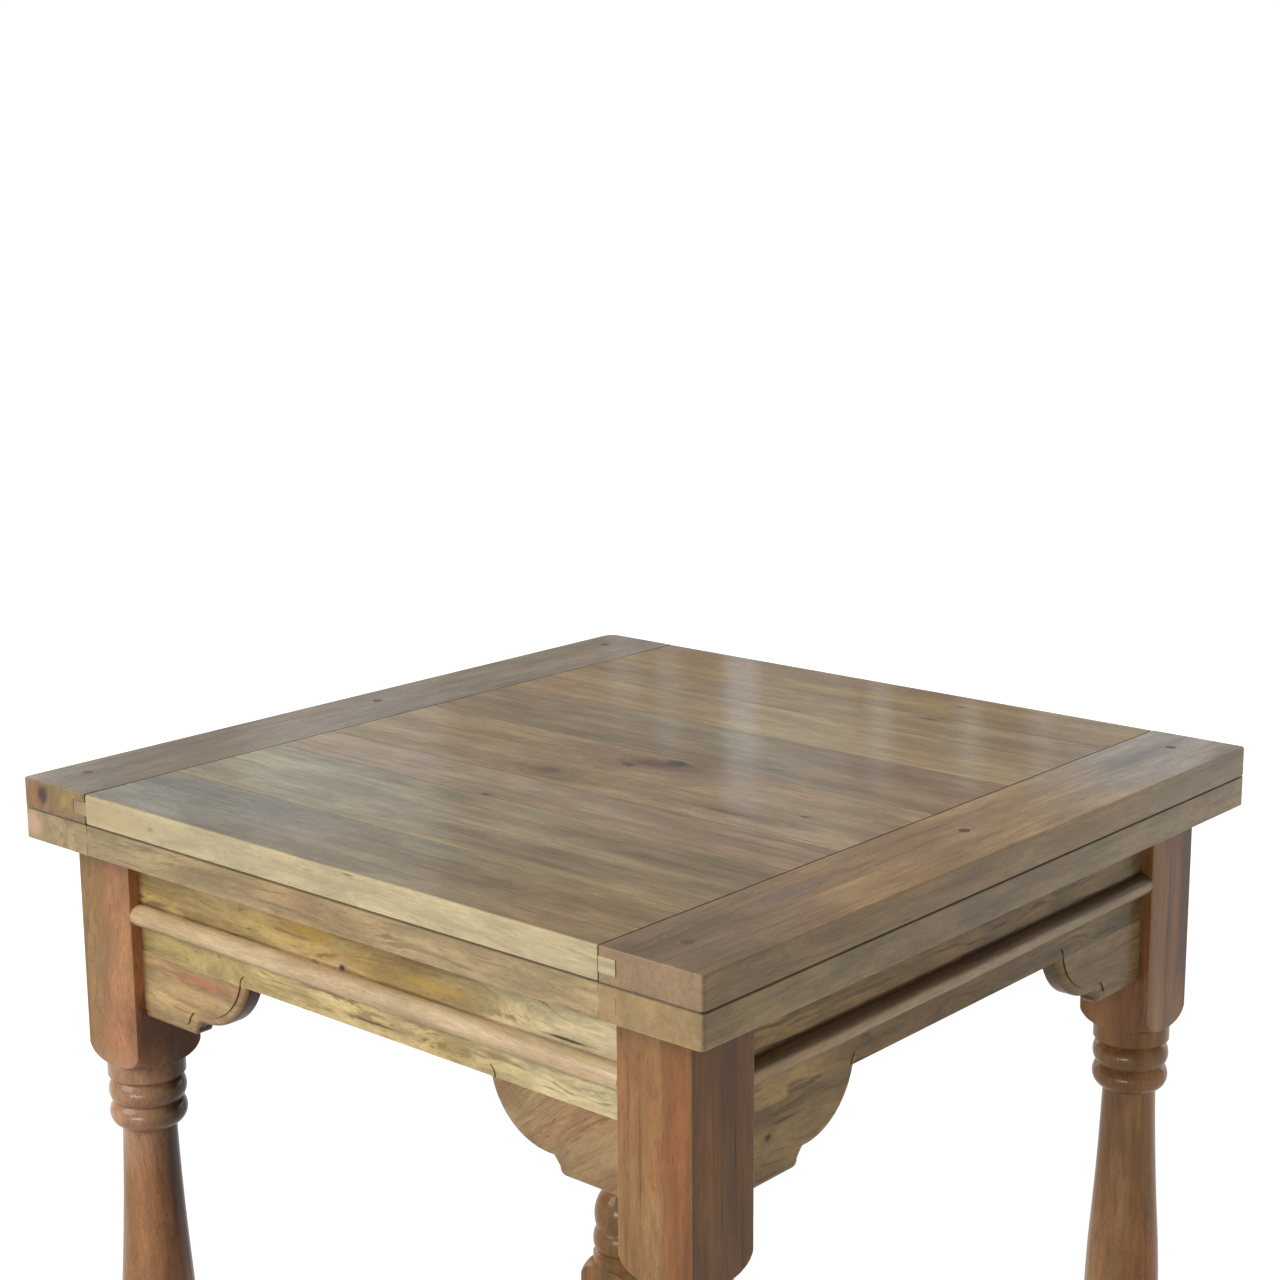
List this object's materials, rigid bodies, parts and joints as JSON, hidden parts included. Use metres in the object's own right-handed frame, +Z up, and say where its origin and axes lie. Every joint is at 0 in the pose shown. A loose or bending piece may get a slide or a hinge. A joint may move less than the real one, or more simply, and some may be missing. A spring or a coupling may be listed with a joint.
{
  "type": "butterfly table",
  "caption": "Square wooden dining table with turned legs, scalloped brackets and a doubled top that slides along the frame and unfolds to twice its length.",
  "frame": {"origin": "on the floor, under the middle of the closed table", "axes": "+X along the planks, away from the fold line; -Y towards the front; +Z up"},
  "size_m": [0.773, 0.77, 0.78],
  "materials": {
    "leaf_wood": "satin lacquered hardwood planks, taupe and tan with dark streaks",
    "leg_wood": "satin lacquered turned hardwood, reddish brown",
    "apron_wood": "satin lacquered hardwood, pale olive yellow",
    "bead_wood": "satin lacquered hardwood, pinkish tan",
    "bracket_wood": "satin lacquered hardwood, tan",
    "inner_wood": "plain planed hardwood",
    "peg_wood": "dark round pegs, end grain",
    "brass": "plain rolled brass",
    "steel": "plain steel",
    "felt": "thin dark felt"
  },
  "bodies": {
    "base": {"apron_back": "apron_wood", "apron_front": "apron_wood", "apron_left": "apron_wood", "apron_right": "apron_wood", "bead_back": "bead_wood", "bead_front": "bead_wood", "bead_left": "bead_wood", "bead_right": "bead_wood", "bracket_back_a": "bracket_wood", "bracket_back_b": "bracket_wood", "bracket_front_a": "bracket_wood", "bracket_front_b": "bracket_wood", "bracket_left_a": "bracket_wood", "bracket_left_b": "bracket_wood", "bracket_right_a": "bracket_wood", "bracket_right_b": "bracket_wood", "corner_block_back_left": "inner_wood", "corner_block_back_right": "inner_wood", "corner_block_front_left": "inner_wood", "corner_block_front_right": "inner_wood", "corner_block_screws": "steel", "glide_strips": "felt", "guide_rail_back": "inner_wood", "guide_rail_front": "inner_wood", "guide_rail_screws": "steel", "leg_back_left": "leg_wood", "leg_back_right": "leg_wood", "leg_front_left": "leg_wood", "leg_front_right": "leg_wood"},
    "lower_leaf": {"hinge_pins": "steel", "lower_breadboard_left": "leaf_wood", "lower_breadboard_right": "leaf_wood", "lower_hinge_plates": "brass", "lower_hinge_screws": "brass", "lower_pegs": "peg_wood", "lower_plank_1": "leaf_wood", "lower_plank_2": "leaf_wood", "lower_plank_3": "leaf_wood", "lower_plank_4": "leaf_wood", "lower_plank_5": "leaf_wood", "lower_plank_6": "leaf_wood", "slider_back": "inner_wood", "slider_front": "inner_wood", "slider_screws": "steel"},
    "upper_leaf": {"upper_breadboard_left": "leaf_wood", "upper_breadboard_right": "leaf_wood", "upper_hinge_plates": "brass", "upper_hinge_screws": "brass", "upper_pegs": "peg_wood", "upper_plank_1": "leaf_wood", "upper_plank_2": "leaf_wood", "upper_plank_3": "leaf_wood", "upper_plank_4": "leaf_wood", "upper_plank_5": "leaf_wood", "upper_plank_6": "leaf_wood", "upper_plank_7": "leaf_wood", "upper_plank_8": "leaf_wood"}
  },
  "joints": [
    {"name": "top_slide", "type": "slide", "parent": "base", "child": "lower_leaf", "axis": [1, 0, 0], "range_m": [0, 0.385]},
    {"name": "leaf_flip", "type": "hinge", "parent": "lower_leaf", "child": "upper_leaf", "pos_m": [-0.38525, 0, 0.7528], "axis": [0, -1, 0], "range_deg": [0, 180]}
  ]
}
